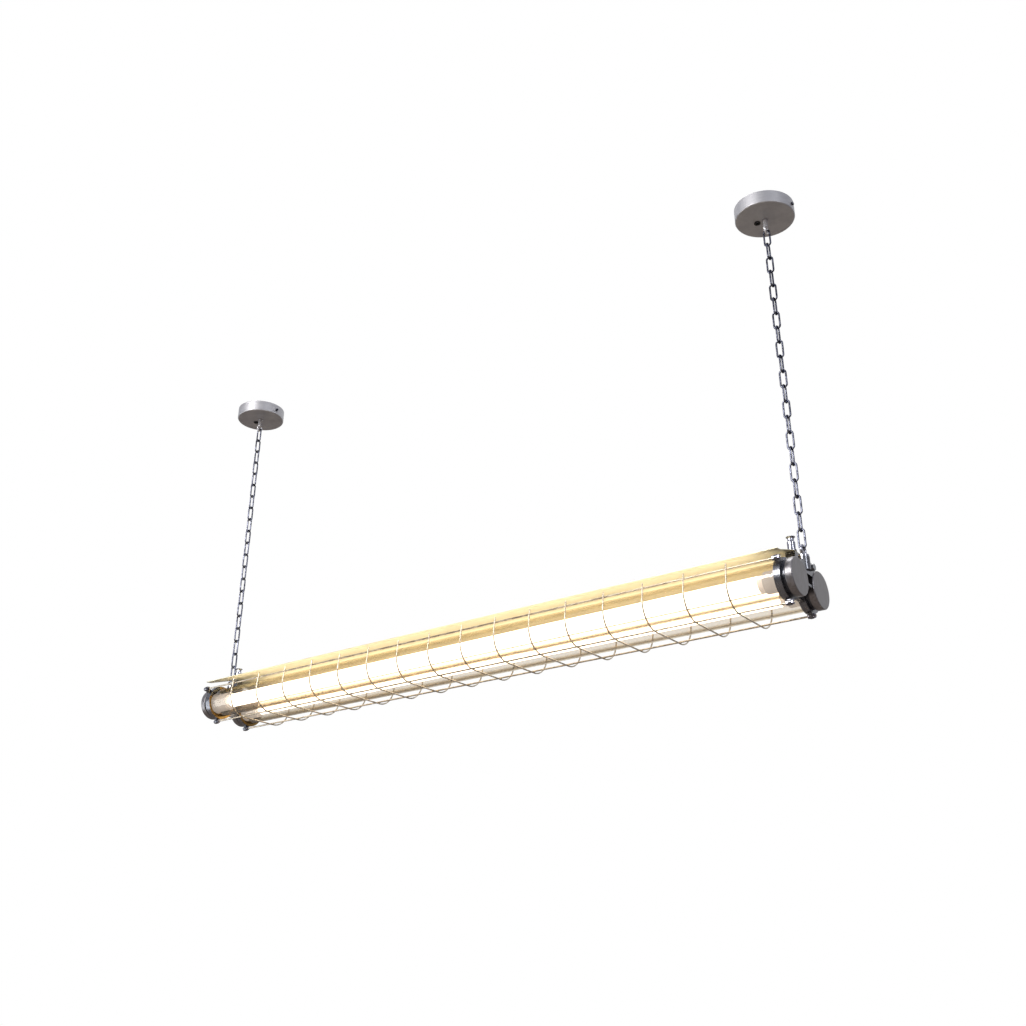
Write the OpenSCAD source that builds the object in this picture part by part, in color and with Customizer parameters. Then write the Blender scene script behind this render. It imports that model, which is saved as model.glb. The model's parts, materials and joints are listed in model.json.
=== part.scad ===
// Twin tube linear pendant light on two chains, with a wire guard and a folded reflector.
// The origin lies on the ceiling, midway between the two canopies. X runs along the light, Z points up.

/* [Lamps] */
// Length of each tubular lamp between its end faces
lamp_length = 1199.4; // [589.8:0.1:1499.4]
// Diameter of the lamp's glass
lamp_d = 26; // [25:0.5:28]
// Wall of the lamp's glass
lamp_wall = 1; // [0.7:0.1:1.4]
// Length of the metal sleeve on each lamp end
lamp_sleeve = 10; // [6:0.5:16]
// Distance between the two contact pins
pin_spacing = 12.7; // [11:0.1:13.5]
// Diameter of a contact pin
pin_d = 2.4; // [2:0.1:2.6]
// Length of a contact pin
pin_length = 7.1; // [5:0.1:8]
// Width of the board that carries the light sources
board_w = 20; // [12:0.5:20.5]
// Thickness of that board
board_t = 1.6; // [1:0.1:2.4]

/* [Tubes] */
// Outer diameter of the protective glass tubes
glass_d = 55; // [52:0.5:58]
// Wall of the protective glass tubes
glass_wall = 2; // [1.5:0.1:3]
// Width of the seal behind each end of that glass
seal_w = 5; // [3:0.5:7]
// Distance between the axes of the two tubes
tube_spacing = 79; // [78:0.5:90]

/* [Lampholders] */
// Diameter of the lampholder's barrel
holder_d = 35; // [33:0.5:38]
// Length of the barrel that shows inside the glass
holder_show = 26; // [16:0.5:40]
// Width of the ledge in the neck that the holder's collar sits on
collar_ledge = 3; // [2:0.1:3.5]
// Thickness of that collar
holder_collar_t = 3.4; // [2:0.1:5]
// Diameter of the turning rotor that takes the pins
rotor_d = 22; // [19:0.5:24]
// Thickness of the rotor
rotor_t = 7.7; // [7.3:0.1:10]

/* [End castings] */
// Diameter of the flange ring round each tube
flange_d = 66; // [64:0.5:70]
// Width of the flange ring along the tube
flange_w = 11; // [9:0.5:14]
// Depth of the seat that takes the glass
seat_depth = 8; // [6:0.5:8.5]
// Wall of the threaded neck round the holder's collar
neck_wall = 2.2; // [1.5:0.1:3]
// Width of the open groove between flange ring and screw cap
groove_w = 5.5; // [4:0.5:8]
// Outer diameter of the screw cap
cap_d = 61; // [55:0.5:64]
// Wall of the screw cap round the neck
cap_wall = 3.2; // [2:0.1:3.5]
// Width of the screw cap along the tube
cap_w = 12.5; // [11:0.5:16]
// Thickness of the screw cap's face
cap_face = 3; // [2:0.1:4]
// Thickness of the gasket inside the screw cap
gasket_t = 1.8; // [1.2:0.1:2.5]
// Width of that gasket's ring
gasket_w = 6.5; // [4:0.5:9]
// Thickness of the web between the two rings
web_t = 8; // [5:0.5:10]
// Height of the web above and below the tube axes
web_reach = 22; // [16:1:26]
// Height of the rib in the waist of the web
rib_h = 4; // [3:0.5:6]
// Height of the bridge's lower edge above the tube axes
bridge_z = 14; // [10:0.5:18]
// Depth of the bridge's face behind the screw caps' faces
bridge_back = 1.5; // [1:0.1:4]
// Height of the eye bolt's seat above the tube axes
boss_z = 43; // [40:0.5:48]
// Diameter of the boss under the eye bolt
boss_d = 18; // [16:0.5:20]
// Distance from the flange ring's inner face to the eye bolt
eye_inset = 22; // [21.5:0.5:26]
// Thickness of a lug
lug_t = 5; // [4:0.5:7]
// Radius of the rounded end of a lug
lug_r = 4.6; // [4:0.1:6]
// Diameter of the earth bolt on the bridge
earth_d = 6; // [5:0.5:6.5]
// Width across the flats of the earth bolt's head
earth_flats = 10; // [8:0.5:11]
// Thickness of that head
earth_head = 4.2; // [3:0.1:6]
// Length of the earth bolt in the bridge
earth_l = 10; // [6:0.5:12]
// Height of the earth bolt above the tube axes
earth_z = 30; // [28:0.5:31]

/* [Guard] */
// Number of hoops
hoop_count = 16; // [4:1:24]
// Wire diameter of the hoops
hoop_wire = 2.5; // [2:0.1:3.2]
// Diameter of the long rods
rod_d = 3; // [2.6:0.1:3.2]
// Distance from a tube's axis to the long rod below it
rod_r = 37.5; // [37:0.5:42]
// Height of the upper long rods above the tube axes
rod_up_z = 23; // [20:0.5:26]
// Inward lean of the hoops' legs in degrees
leg_lean = 7; // [0:1:10]
// Height of the hoops' ends above the tube axes
leg_top = 31; // [28:0.5:33]
// Width across the flats of the guard's nuts
nut_flats = 7; // [5.5:0.5:8]
// Thickness of the guard's nuts
nut_t = 3.5; // [2.4:0.1:4]

/* [Reflector] */
// Half width of the reflector from its centre line to the lip's edge
reflector_half = 76; // [74:0.5:90]
// Width of the lip
lip_w = 12; // [6:0.5:16]
// Height of the lip's edge above the tube axes
lip_z = 37; // [36:0.5:42]
// Rise of the lip from its edge to its crease
lip_rise = 1; // [0:0.5:3]
// Height of the flat ridge above the tube axes
ridge_z = 54; // [51:0.5:60]
// Half width of the flat ridge
ridge_half = 12; // [11:0.5:20]
// Thickness of the sheet
sheet_t = 1.2; // [0.8:0.1:2]
// Distance that the reflector reaches past the flange ring's inner face
reflector_past = 12; // [12:0.5:12.5]

/* [Cable glands] */
// Distance from the flange ring's inner face to the gland's axis
gland_inset = 4; // [3:0.5:4]
// Diameter of the gland's foot
gland_foot_d = 16; // [14:0.5:16]
// Thickness of the gland's foot
gland_foot_t = 3.5; // [2:0.1:5]
// Diameter of the gland's barrel
gland_d = 13; // [12:0.5:14]
// Height of the gland's barrel above the foot
gland_h = 12; // [6:0.5:16]
// Height of the flared nut on the barrel
gland_nut_h = 17; // [11:0.5:20]
// Diameter of the cable passage
gland_bore = 7; // [6:0.1:7.4]
// Diameter of the gland's threaded tail
gland_tail_d = 9; // [8.6:0.1:9.6]
// Length of the tail below the foot
gland_tail = 14; // [10:0.5:18]
// Diameter of the leads inside the castings
lead_d = 2.6; // [2:0.1:2.8]

/* [Eye bolts] */
// Wire diameter of the ring
eye_wire = 5; // [4:0.1:5.4]
// Radius of the ring's centre line
eye_r = 7.5; // [7:0.5:9]
// Diameter of the collar
collar_d = 17; // [15:0.5:17.5]
// Thickness of the collar
collar_t = 3.5; // [2:0.1:5]
// Diameter of the threaded shank
shank_d = 8; // [6:0.5:9]
// Length of the shank
shank_l = 16; // [12:0.5:20]

/* [Chain] */
// Number of links in each chain, which is odd so that both ends lie the same way
link_count = 21; // [5:2:41]
// Wire diameter of a link
link_wire = 3.2; // [2.6:0.1:3.6]
// Inner length of a link
link_inner_l = 28.8; // [24:0.1:34]
// Inner width of a link
link_inner_w = 7.6; // [7:0.1:9]
// Play between hooked links
play = 0.3; // [0.2:0.05:0.5]

/* [Ceiling parts] */
// Diameter of a canopy
canopy_d = 105; // [98:0.5:120]
// Height of a canopy
canopy_h = 25; // [22:0.5:40]
// Wall of a canopy
canopy_wall = 1.2; // [0.8:0.1:2]
// Gap between the canopy's rim and the ceiling
canopy_gap = 0.6; // [0.3:0.1:2]
// Diameter of the ceiling plate
plate_d = 88; // [84:0.5:90]
// Thickness of the ceiling plate
plate_t = 2; // [1.5:0.1:3]
// Distance between the two screw holes of a ceiling plate
screw_spacing = 60; // [50:0.5:66]
// Diameter of the screw holes
screw_hole_d = 5; // [4:0.1:6]
// Width of the plate's ears
ear_w = 14; // [10:0.5:20]
// Length of the plate's ears below the ceiling
ear_h = 18; // [17:0.5:19]
// Diameter of the stem
stem_d = 9; // [8:0.5:10]
// Length of stem that shows below the canopy
stem_show = 15; // [13:0.5:30]
// Diameter of the stem's threaded end
stem_thread_d = 6; // [5:0.5:7]
// Wire diameter of the hanger ring
hanger_wire = 4; // [3:0.1:4.4]
// Radius of the hanger ring's centre line
hanger_r = 6; // [5.5:0.5:8]
// Diameter of the canopy's cable passage
grommet_bore = 6.4; // [5:0.1:7]
// Distance from the stem to the canopy's cable passage
grommet_x = 15; // [13:0.5:20]

/* [Hidden] */
$fn = 64;
wire_fn = 32;

// Clearances
slack = 0.3;
fine = 0.1;
thread_slack = 0.05;

// Round the tubes, from the screw cap inwards
neck_d = cap_d - 2 * (cap_wall + slack);
holder_collar_d = neck_d - 2 * (neck_wall + slack);
neck_bore = holder_collar_d - 2 * collar_ledge;

// Places along X, counted outwards from the middle
lamp_half = lamp_length / 2;
holder_face = lamp_half + slack;
flange_in = lamp_half + holder_show;
flange_out = flange_in + flange_w;
cap_in = flange_out + groove_w;
cap_out = cap_in + cap_w;
cap_inner_face = cap_out - cap_face;
neck_out = cap_inner_face - gasket_t - 2 * fine;
glass_end = flange_in + seat_depth - 1;
collar_in = neck_out - holder_collar_t - fine;
eye_x = flange_in + eye_inset;
gland_x = flange_in + gland_inset;
reflector_end = flange_in + reflector_past;
lug_in = flange_out - lug_t;
hoop_pitch = 2 * flange_in / (hoop_count + 1);

// Places across the light
tube_y = tube_spacing / 2;
cap_clear_d = cap_d + 4 * slack;
earth_y = boss_d / 2 + earth_flats / 2 + 1;
lay = rod_d / 2 + hoop_wire / 2 + thread_slack;
hoop_r = rod_r + lay;
leg_foot_z = hoop_r * sin(leg_lean);
function leg_y(z) = tube_y + hoop_r * cos(leg_lean) - (z - leg_foot_z) * tan(leg_lean);
rod_up_y = leg_y(rod_up_z) - lay / cos(leg_lean);

// Heights, counted from the ceiling down
boss_h = 6;
stem_nut_h = 5;
stem_shoulder = -(plate_t + boss_h + stem_nut_h + fine);
canopy_bottom = -(canopy_gap + canopy_h);
hanger_z = canopy_bottom - stem_show - hanger_r;
hanger_crown = hanger_z - hanger_r;
link_c = (link_inner_w + link_wire) / 2;
link_half = (link_inner_l + link_wire) / 2;
link_pitch = link_inner_l - play;
first_link_z = hanger_crown + hanger_wire / 2 + link_wire / 2 + play - link_half;
last_link_z = first_link_z - (link_count - 1) * link_pitch;
eye_crown = last_link_z - link_half + link_wire / 2 + eye_wire / 2 + play;
eye_z = eye_crown - eye_r;
eye_sink = 1.5;
collar_top = eye_z - eye_r - eye_wire / 2 + eye_sink;
tube_z = collar_top - collar_t - boss_z;

casting_grey = [0.52, 0.53, 0.55];
polished = [0.75, 0.76, 0.8];
steel = [0.62, 0.63, 0.68];
dark_steel = [0.22, 0.23, 0.28];
nickel = [0.7, 0.69, 0.71];
rubber = [0.12, 0.12, 0.12];
warm_sheet = [0.93, 0.82, 0.55];
clear_glass = [0.8, 0.88, 0.9, 0.35];
warm_light = [1, 0.93, 0.78];
holder_beige = [0.72, 0.68, 0.62];
brass_tone = [0.72, 0.58, 0.3];
board_white = [0.92, 0.92, 0.88];

// Turns a solid of revolution so that it points along +X
module along_x() {
    rotate([0, 90, 0]) children();
}

// A disc or cylinder along X between two distances from the middle
module bar_x(from, to, d, fn = $fn) {
    translate([from, 0, 0]) along_x() cylinder(h = to - from, d = d, $fn = fn);
}

// A ring along X between two distances from the middle
module ring_x(from, to, outer_d, inner_d) {
    difference() {
        bar_x(from, to, outer_d);
        bar_x(from - 1, to + 1, inner_d);
    }
}

// Puts a piece that is drawn for the right end at the end named by side, -1 for left
module at_end(side) {
    if (side > 0) children();
    else mirror([1, 0, 0]) children();
}

// Puts a piece on the axis of the tube at row -1, the front one, or row 1
module on_tube(row) {
    translate([0, row * tube_y, tube_z]) children();
}

// Part of a ring of round wire in the YZ plane, from one angle to another
module wire_arc(r, d, from, sweep) {
    rotate([90, 0, 90]) rotate([0, 0, from])
        rotate_extrude(angle = sweep, $fn = 96) translate([r, 0]) circle(d = d, $fn = wire_fn);
}

// A link of the chain that stands in the XZ plane
module link() {
    straight = link_inner_l - link_inner_w;
    for (side = [-1, 1]) {
        translate([side * link_c, 0, 0]) cylinder(h = straight, d = link_wire, center = true, $fn = wire_fn);
        translate([0, 0, side * straight / 2]) rotate([side * 90, 0, 0])
            rotate_extrude(angle = 180, $fn = 48) translate([link_c, 0]) circle(d = link_wire, $fn = wire_fn);
    }
}

// Links of one chain, counted from the top, which turn a quarter from one to the next
module chain_links(side, first, last) {
    for (i = [first:last])
        translate([side * eye_x, 0, first_link_z - i * link_pitch]) rotate([0, 0, 90 * (i % 2)]) link();
}

// Ceiling parts

module ceiling_plate(side) {
    color(steel) translate([side * eye_x, 0, 0]) difference() {
        union() {
            translate([0, 0, -plate_t]) cylinder(h = plate_t, d = plate_d);
            translate([0, 0, -plate_t - boss_h]) cylinder(h = boss_h + plate_t / 2, d = 14);
            for (s = [-1, 1])
                translate([s * (plate_d / 2 - 1 - plate_t / 2) - plate_t / 2, -ear_w / 2, -ear_h])
                    cube([plate_t, ear_w, ear_h - plate_t / 2]);
        }
        translate([0, 0, -plate_t - boss_h - 1])
            cylinder(h = plate_t + boss_h + 2, d = stem_thread_d + 2 * thread_slack);
        for (s = [-1, 1])
            translate([0, s * screw_spacing / 2, -plate_t - 1]) cylinder(h = plate_t + 2, d = screw_hole_d);
    }
}

module stem(side) {
    color(polished) translate([side * eye_x, 0, 0]) union() {
        translate([0, 0, stem_shoulder]) cylinder(h = -stem_shoulder - 0.8, d = stem_thread_d);
        translate([0, 0, hanger_z + hanger_r - hanger_wire / 4])
            cylinder(h = stem_shoulder - hanger_z - hanger_r + hanger_wire / 4, d = stem_d);
        translate([0, 0, hanger_z]) wire_arc(hanger_r, hanger_wire, 0, 360);
    }
}

module stem_nuts() {
    color(steel) for (side = [-1, 1])
        translate([side * eye_x, 0, -plate_t - boss_h - stem_nut_h - fine / 2]) difference() {
            cylinder(h = stem_nut_h, d = 11.5, $fn = 6);
            translate([0, 0, -1]) cylinder(h = stem_nut_h + 2, d = stem_thread_d + 2 * thread_slack);
        }
}

// Half section of the canopy's cup with a rounded lower edge
function canopy_outline(r, h, wall, edge) = concat(
    [[0, 0]],
    [for (a = [-90:15:0]) [r - edge + edge * cos(a), edge + edge * sin(a)]],
    [[r, h], [r - wall, h]],
    [for (a = [0:-15:-90]) [r - edge + (edge - wall) * cos(a), edge + (edge - wall) * sin(a)]],
    [[0, wall]]
);

canopy_screw_z = canopy_bottom + 12;
canopy_screw_d = 3.5;
module canopy(side) {
    color(nickel) translate([side * eye_x, 0, canopy_bottom]) difference() {
        rotate_extrude($fn = 96)
            polygon(canopy_outline(canopy_d / 2, canopy_h, canopy_wall, canopy_wall + 1.5));
        translate([0, 0, -1]) cylinder(h = canopy_wall + 2, d = stem_d + 1.4);
        translate([-grommet_x, 0, -1]) cylinder(h = canopy_wall + 2, d = grommet_bore + 3);
        for (s = [-1, 1]) translate([s * canopy_d / 2, 0, canopy_screw_z - canopy_bottom]) along_x()
            cylinder(h = 8, d = canopy_screw_d + 2 * thread_slack, center = true);
    }
}

// Thumb screw through the canopy's wall, which pinches the plate's ear
module canopy_screw(side, facing) {
    tip = plate_d / 2 - 1 + slack;
    head = canopy_d / 2 + fine;
    color(dark_steel) translate([side * eye_x, 0, canopy_screw_z]) at_end(facing) {
        bar_x(tip, head + 0.5, canopy_screw_d);
        bar_x(head, head + 3, 6);
    }
}

// Rubber bushing that lines the cable hole, with a groove for the canopy's wall
module canopy_grommet(side) {
    groove = grommet_bore / 2 + 1.5 - fine;
    lip = groove + 1.2;
    color(rubber) translate([side * eye_x - grommet_x, 0, canopy_bottom]) rotate_extrude() polygon([
        [grommet_bore / 2, -1.2], [lip, -1.2], [lip, -fine], [groove, -fine],
        [groove, canopy_wall + fine], [lip, canopy_wall + fine], [lip, canopy_wall + 1.2],
        [grommet_bore / 2, canopy_wall + 1.2],
    ]);
}

// Connector for the mains leads, under the right ceiling plate
module terminal_block() {
    size = [20, 22, 11];
    color(board_white) translate([eye_x + 12, -size[1] / 2, -plate_t - fine - size[2]]) difference() {
        cube(size);
        for (y = [5.5, 16.5]) {
            translate([-1, y, 4.5]) along_x() cylinder(h = size[0] + 2, d = 3.6);
            for (x = [5, 15]) translate([x, y, -1]) cylinder(h = 4, d = 3.4);
        }
    }
}

// Chains and eye bolts

module chain_top_links() {
    color(steel) for (side = [-1, 1]) chain_links(side, 0, 0);
}

module chain(side) {
    color(steel) chain_links(side, 1, link_count - 2);
}

module chain_bottom_links() {
    color(steel) for (side = [-1, 1]) chain_links(side, link_count - 1, link_count - 1);
}

module eye_bolt(side) {
    color(polished) translate([side * eye_x, 0, 0]) union() {
        translate([0, 0, eye_z]) wire_arc(eye_r, eye_wire, 0, 360);
        translate([0, 0, collar_top - collar_t]) cylinder(h = collar_t, d = collar_d);
        translate([0, 0, collar_top - collar_t - shank_l]) cylinder(h = shank_l + 1, d = shank_d);
    }
}

// End castings

// Ear that carries a long rod, given by the rod's place from the tube's axis
module lug(y, z) {
    root = flange_d / 2 - 4;
    reach = norm([y, z]) - rod_d / 2 - 3 * slack;
    waist = lug_r - 0.4;
    translate([lug_in, 0, 0]) {
        translate([0, y, z]) along_x() cylinder(h = lug_t, r = lug_r);
        rotate([atan2(z, y), 0, 0]) translate([0, root, -waist]) cube([lug_t, reach - root, 2 * waist]);
    }
}

// Bridge between the two rings behind the screw caps' faces, cut free of the caps
bridge_top = boss_z - 6;
bridge_face = cap_out - bridge_back;
module bridge() {
    from = flange_out - 2;
    crown_y = boss_d / 2 + 3;
    shoulder_y = tube_y - boss_d / 2 - 3.5;
    shoulder_z = bridge_top - 7;
    difference() {
        translate([from, 0, 0]) rotate([90, 0, 90]) linear_extrude(height = bridge_face - from) polygon([
            [-shoulder_y, bridge_z], [shoulder_y, bridge_z], [shoulder_y, shoulder_z],
            [crown_y, bridge_top], [-crown_y, bridge_top], [-shoulder_y, shoulder_z],
        ]);
        for (row = [-1, 1]) translate([0, row * tube_y, 0])
            bar_x(flange_out + 1, bridge_face + 1, cap_clear_d);
        translate([0, earth_y, earth_z])
            bar_x(bridge_face - earth_l - 2, bridge_face + 1, earth_d + 2 * thread_slack);
    }
}

// Hexagon head bolts that take the earth wires
module earth_bolts() {
    color(polished) for (side = [-1, 1]) at_end(side) translate([0, earth_y, tube_z + earth_z]) {
        bar_x(bridge_face - earth_l, bridge_face + 1, earth_d);
        translate([bridge_face + fine / 2, 0, 0]) along_x()
            cylinder(h = earth_head, d = earth_flats / cos(30), $fn = 6);
    }
}

lead_channel_d = 6;
cross_channel_d = 6.8;
lead_channel_x = flange_out + 0.5;
lead_channel_z = 6;
module end_casting_shape() {
    ridge_seat = ridge_z - fine;
    neck_gap = tube_y - neck_d / 2 + 3.5;
    cap_gap = tube_y - cap_d / 2 - 2 * slack;
    holder_side = tube_y - holder_d / 2;
    translate([0, 0, tube_z]) difference() {
        union() {
            for (row = [-1, 1]) translate([0, row * tube_y, 0]) {
                bar_x(flange_in, flange_out, flange_d);
                bar_x(flange_out - 1, neck_out, neck_d);
                lug(0, -rod_r);
                lug(row * (rod_up_y - tube_y), rod_up_z);
            }
            translate([flange_out - web_t - 1, -tube_y / 2, -web_reach])
                cube([web_t, tube_y, 2 * web_reach]);
            translate([flange_out - 2, -neck_gap, lead_channel_z - lead_channel_d / 2 - 2])
                cube([cap_in - 2 * slack - flange_out + 2, 2 * neck_gap, lead_channel_d + 4]);
            translate([flange_out - 2, -cap_gap, -rib_h / 2 - 3])
                cube([cap_out - flange_out, 2 * cap_gap, rib_h]);
            translate([gland_x - gland_foot_d / 2, -gland_foot_d / 2 - 0.5, web_reach - 4])
                cube([gland_foot_d, gland_foot_d + 1, ridge_seat - web_reach + 4]);
            bridge();
            translate([eye_x, 0, web_reach]) cylinder(h = boss_z - web_reach, d = boss_d);
            translate([flange_out - 2, -boss_d / 2 + 1, web_reach - 3])
                cube([eye_x - flange_out + 2, boss_d - 2, boss_z - web_reach]);
        }
        for (row = [-1, 1]) translate([0, row * tube_y, 0]) {
            bar_x(flange_in - 8, flange_in + seat_depth, glass_d + 2 * slack);
            bar_x(flange_in, neck_out + 1, neck_bore);
            bar_x(collar_in, neck_out + 1, holder_collar_d + 2 * slack);
            for (p = [[0, -rod_r], [row * (rod_up_y - tube_y), rod_up_z]])
                translate([0, p[0], p[1]]) bar_x(lug_in - 1, flange_out + 1, rod_d + 2 * slack);
        }
        translate([eye_x, 0, boss_z - shank_l - 2]) cylinder(h = shank_l + 4, d = shank_d + 2 * thread_slack);
        translate([gland_x, 0, lead_channel_z - lead_channel_d / 2 - 0.5])
            cylinder(h = ridge_z, d = gland_tail_d + 2 * thread_slack);
        translate([0, 0, lead_channel_z]) bar_x(gland_x, lead_channel_x, lead_channel_d);
        translate([lead_channel_x, -holder_side, lead_channel_z]) rotate([-90, 0, 0])
            cylinder(h = 2 * holder_side, d = cross_channel_d);
    }
}

module end_casting(side) {
    color(casting_grey) at_end(side) end_casting_shape();
}

module lampholder(side, row) {
    groove_x = holder_face + 13;
    color(holder_beige) on_tube(row) at_end(side) difference() {
        union() {
            bar_x(holder_face, collar_in + 1, holder_d);
            bar_x(collar_in + fine, collar_in + holder_collar_t, holder_collar_d);
        }
        bar_x(holder_face - 1, holder_face + rotor_t + 2 * slack, rotor_d + 2 * slack);
        bar_x(holder_face + rotor_t + 11, neck_out + 1, holder_d - 6);
        translate([lead_channel_x, -row * holder_d / 2, lead_channel_z]) rotate([90, 0, 0])
            cylinder(h = 12, d = 5, center = true);
        difference() {
            bar_x(groove_x, groove_x + 1.6, holder_d + 2);
            bar_x(groove_x - 1, groove_x + 3, holder_d - 1.4);
        }
    }
}

module cap_gasket(side, row) {
    gasket_d = holder_collar_d - 1;
    color(rubber) on_tube(row) at_end(side)
        ring_x(neck_out + fine, neck_out + fine + gasket_t, gasket_d, gasket_d - 2 * gasket_w);
}

// Threaded cup with a grooved rim that closes the neck
module screw_cap(side, row) {
    bore_d = neck_d + 2 * slack;
    edge = 1.2;
    color(casting_grey) on_tube(row) at_end(side) translate([cap_in, 0, 0]) along_x()
        rotate_extrude($fn = 96) polygon([
        [bore_d / 2, 0], [cap_d / 2 - edge, 0], [cap_d / 2, edge], [cap_d / 2, cap_w - edge],
        [cap_d / 2 - edge, cap_w], [0, cap_w], [0, cap_w - cap_face], [bore_d / 2, cap_w - cap_face],
    ]);
}

// Glass, seals and lamps

module glass(row) {
    color(clear_glass) on_tube(row) ring_x(-glass_end, glass_end, glass_d, glass_d - 2 * glass_wall);
}

module glass_seals() {
    color(rubber) for (row = [-1, 1], side = [-1, 1]) on_tube(row) at_end(side)
        ring_x(glass_end + fine, flange_in + seat_depth - fine, glass_d, glass_d - 2 * seal_w);
}

module lamp_tube(row) {
    color(warm_light) on_tube(row)
        ring_x(-lamp_half + 3, lamp_half - 3, lamp_d, lamp_d - 2 * lamp_wall);
}

// Metal sleeves with their two contact pins
module lamp_caps(row) {
    color(polished) on_tube(row) for (side = [-1, 1]) at_end(side) difference() {
        union() {
            bar_x(lamp_half - lamp_sleeve, lamp_half, lamp_d + 1.4);
            for (s = [-1, 1]) translate([0, s * pin_spacing / 2, 0])
                bar_x(lamp_half - 0.5, lamp_half + pin_length, pin_d, 24);
        }
        bar_x(lamp_half - lamp_sleeve - 1, lamp_half - 2, lamp_d + 2 * fine);
    }
}

module lamp_board(row) {
    inner_r = lamp_d / 2 - lamp_wall;
    top = sqrt(pow(inner_r - 0.2, 2) - pow(board_w / 2, 2));
    color(board_white) on_tube(row) translate([-lamp_half + 2 + slack, -board_w / 2, top - board_t])
        cube([lamp_length - 4 - 2 * slack, board_w, board_t]);
}

module lamp_rotors(row) {
    color(holder_beige) on_tube(row) for (side = [-1, 1]) at_end(side) difference() {
        bar_x(holder_face + slack, holder_face + slack + rotor_t, rotor_d);
        for (s = [-1, 1]) translate([0, s * pin_spacing / 2, 0])
            bar_x(holder_face, lamp_half + pin_length + fine, pin_d + 2 * fine, 24);
    }
}

// Reflector

function reflector_top() = [
    [-reflector_half, lip_z], [-reflector_half + lip_w, lip_z + lip_rise], [-ridge_half, ridge_z],
    [ridge_half, ridge_z], [reflector_half - lip_w, lip_z + lip_rise], [reflector_half, lip_z],
];

module reflector() {
    lower = reflector_top();
    upper = [for (i = [len(lower) - 1:-1:0]) lower[i] + [0, sheet_t]];
    color(warm_sheet) translate([0, 0, tube_z]) difference() {
        translate([-reflector_end, 0, 0]) rotate([90, 0, 90])
            linear_extrude(height = 2 * reflector_end) polygon(concat(lower, upper));
        for (side = [-1, 1]) translate([side * gland_x, 0, ridge_z - 1])
            cylinder(h = sheet_t + 2, d = gland_tail_d + 2 * slack);
    }
}

// Wire guard

module guard_rods() {
    rod_end = flange_out + nut_t + 1.5;
    color(polished) for (row = [-1, 1], p = [[tube_y, -rod_r], [rod_up_y, rod_up_z]])
        translate([0, row * p[0], tube_z + p[1]]) bar_x(-rod_end, rod_end, rod_d, wire_fn);
}

// Places its children where the arc at one side of a hoop ends, on both sides
module at_leg_feet() {
    for (s = [0, 1]) mirror([0, s, 0]) translate([0, tube_y + hoop_r * cos(leg_lean), leg_foot_z]) children();
}

// One hoop in the YZ plane, open at the top
module hoop() {
    leg_length = (leg_top - leg_foot_z) / cos(leg_lean);
    for (s = [0, 1]) mirror([0, s, 0]) translate([0, tube_y, 0]) wire_arc(hoop_r, hoop_wire, -90, 90 + leg_lean);
    rotate([-90, 0, 0]) translate([0, hoop_r, -tube_y]) cylinder(h = 2 * tube_y, d = hoop_wire, $fn = wire_fn);
    at_leg_feet() rotate([leg_lean, 0, 0]) cylinder(h = leg_length, d = hoop_wire, $fn = wire_fn);
    at_leg_feet() sphere(d = hoop_wire, $fn = wire_fn);
}

module guard_hoops() {
    color(polished) for (i = [1:hoop_count]) translate([i * hoop_pitch - flange_in, 0, tube_z]) hoop();
}

// Hexagon nuts on all rod ends, starting at a given distance from the middle
module guard_nuts(from) {
    for (side = [-1, 1], row = [-1, 1], p = [[tube_y, -rod_r], [rod_up_y, rod_up_z]]) at_end(side)
        translate([from, row * p[0], tube_z + p[1]]) along_x() difference() {
            cylinder(h = nut_t, d = nut_flats / cos(30), $fn = 6);
            translate([0, 0, -1]) cylinder(h = nut_t + 2, d = rod_d + 2 * thread_slack, $fn = wire_fn);
        }
}

module guard_nuts_inner() {
    color(polished) guard_nuts(lug_in - nut_t - fine);
}

module guard_nuts_outer() {
    color(dark_steel) guard_nuts(flange_out + fine);
}

// Cable glands and the leads inside the castings

gland_z = tube_z + ridge_z + sheet_t + fine;
gland_step_d = gland_d - 3;
gland_step_h = 4;
module cable_gland(side) {
    color(polished) translate([side * gland_x, 0, gland_z]) rotate_extrude() polygon([
        [gland_bore / 2, -gland_tail], [gland_tail_d / 2, -gland_tail], [gland_tail_d / 2, 0],
        [gland_foot_d / 2, 0], [gland_foot_d / 2, gland_foot_t], [gland_d / 2, gland_foot_t + 0.8],
        [gland_d / 2, gland_foot_t + gland_h - gland_step_h], [gland_step_d / 2, gland_foot_t + gland_h - gland_step_h],
        [gland_step_d / 2, gland_foot_t + gland_h], [gland_bore / 2, gland_foot_t + gland_h],
    ]);
}

// Nuts that screw on the barrels and flare out round the cable
module gland_nuts() {
    base = gland_foot_t + gland_h - gland_step_h + fine;
    inner = gland_step_d / 2 + thread_slack;
    top = gland_nut_h - gland_step_h;
    color(polished) for (side = [-1, 1]) translate([side * gland_x, 0, gland_z + base]) rotate_extrude() polygon([
        [inner, 0], [gland_d / 2, 0], [gland_d / 2, gland_step_h + 1], [gland_d / 2 - 1.2, gland_step_h + 3],
        [gland_d / 2 - 1.4, top - 2], [gland_d / 2 - 0.6, top - 0.6], [gland_d / 2 + 1, top + 0.6],
        [gland_d / 2 + 0.8, top + 1.2], [gland_bore / 2 + 1.2, top + 1.2], [gland_bore / 2 + 0.2, top - 1],
        [gland_bore / 2 + 0.2, gland_step_h + 2.4], [inner, gland_step_h + 2.4],
    ]);
}

module gland_seals() {
    base = gland_foot_t + gland_h + 2 * fine;
    color(rubber) for (side = [-1, 1]) translate([side * gland_x, 0, gland_z + base]) rotate_extrude() polygon([
        [gland_bore / 2 + 0.1, 0], [gland_step_d / 2 - fine, 0], [gland_step_d / 2 - fine, 1.8], [gland_bore / 2 + 0.1, 1.8],
    ]);
}

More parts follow.
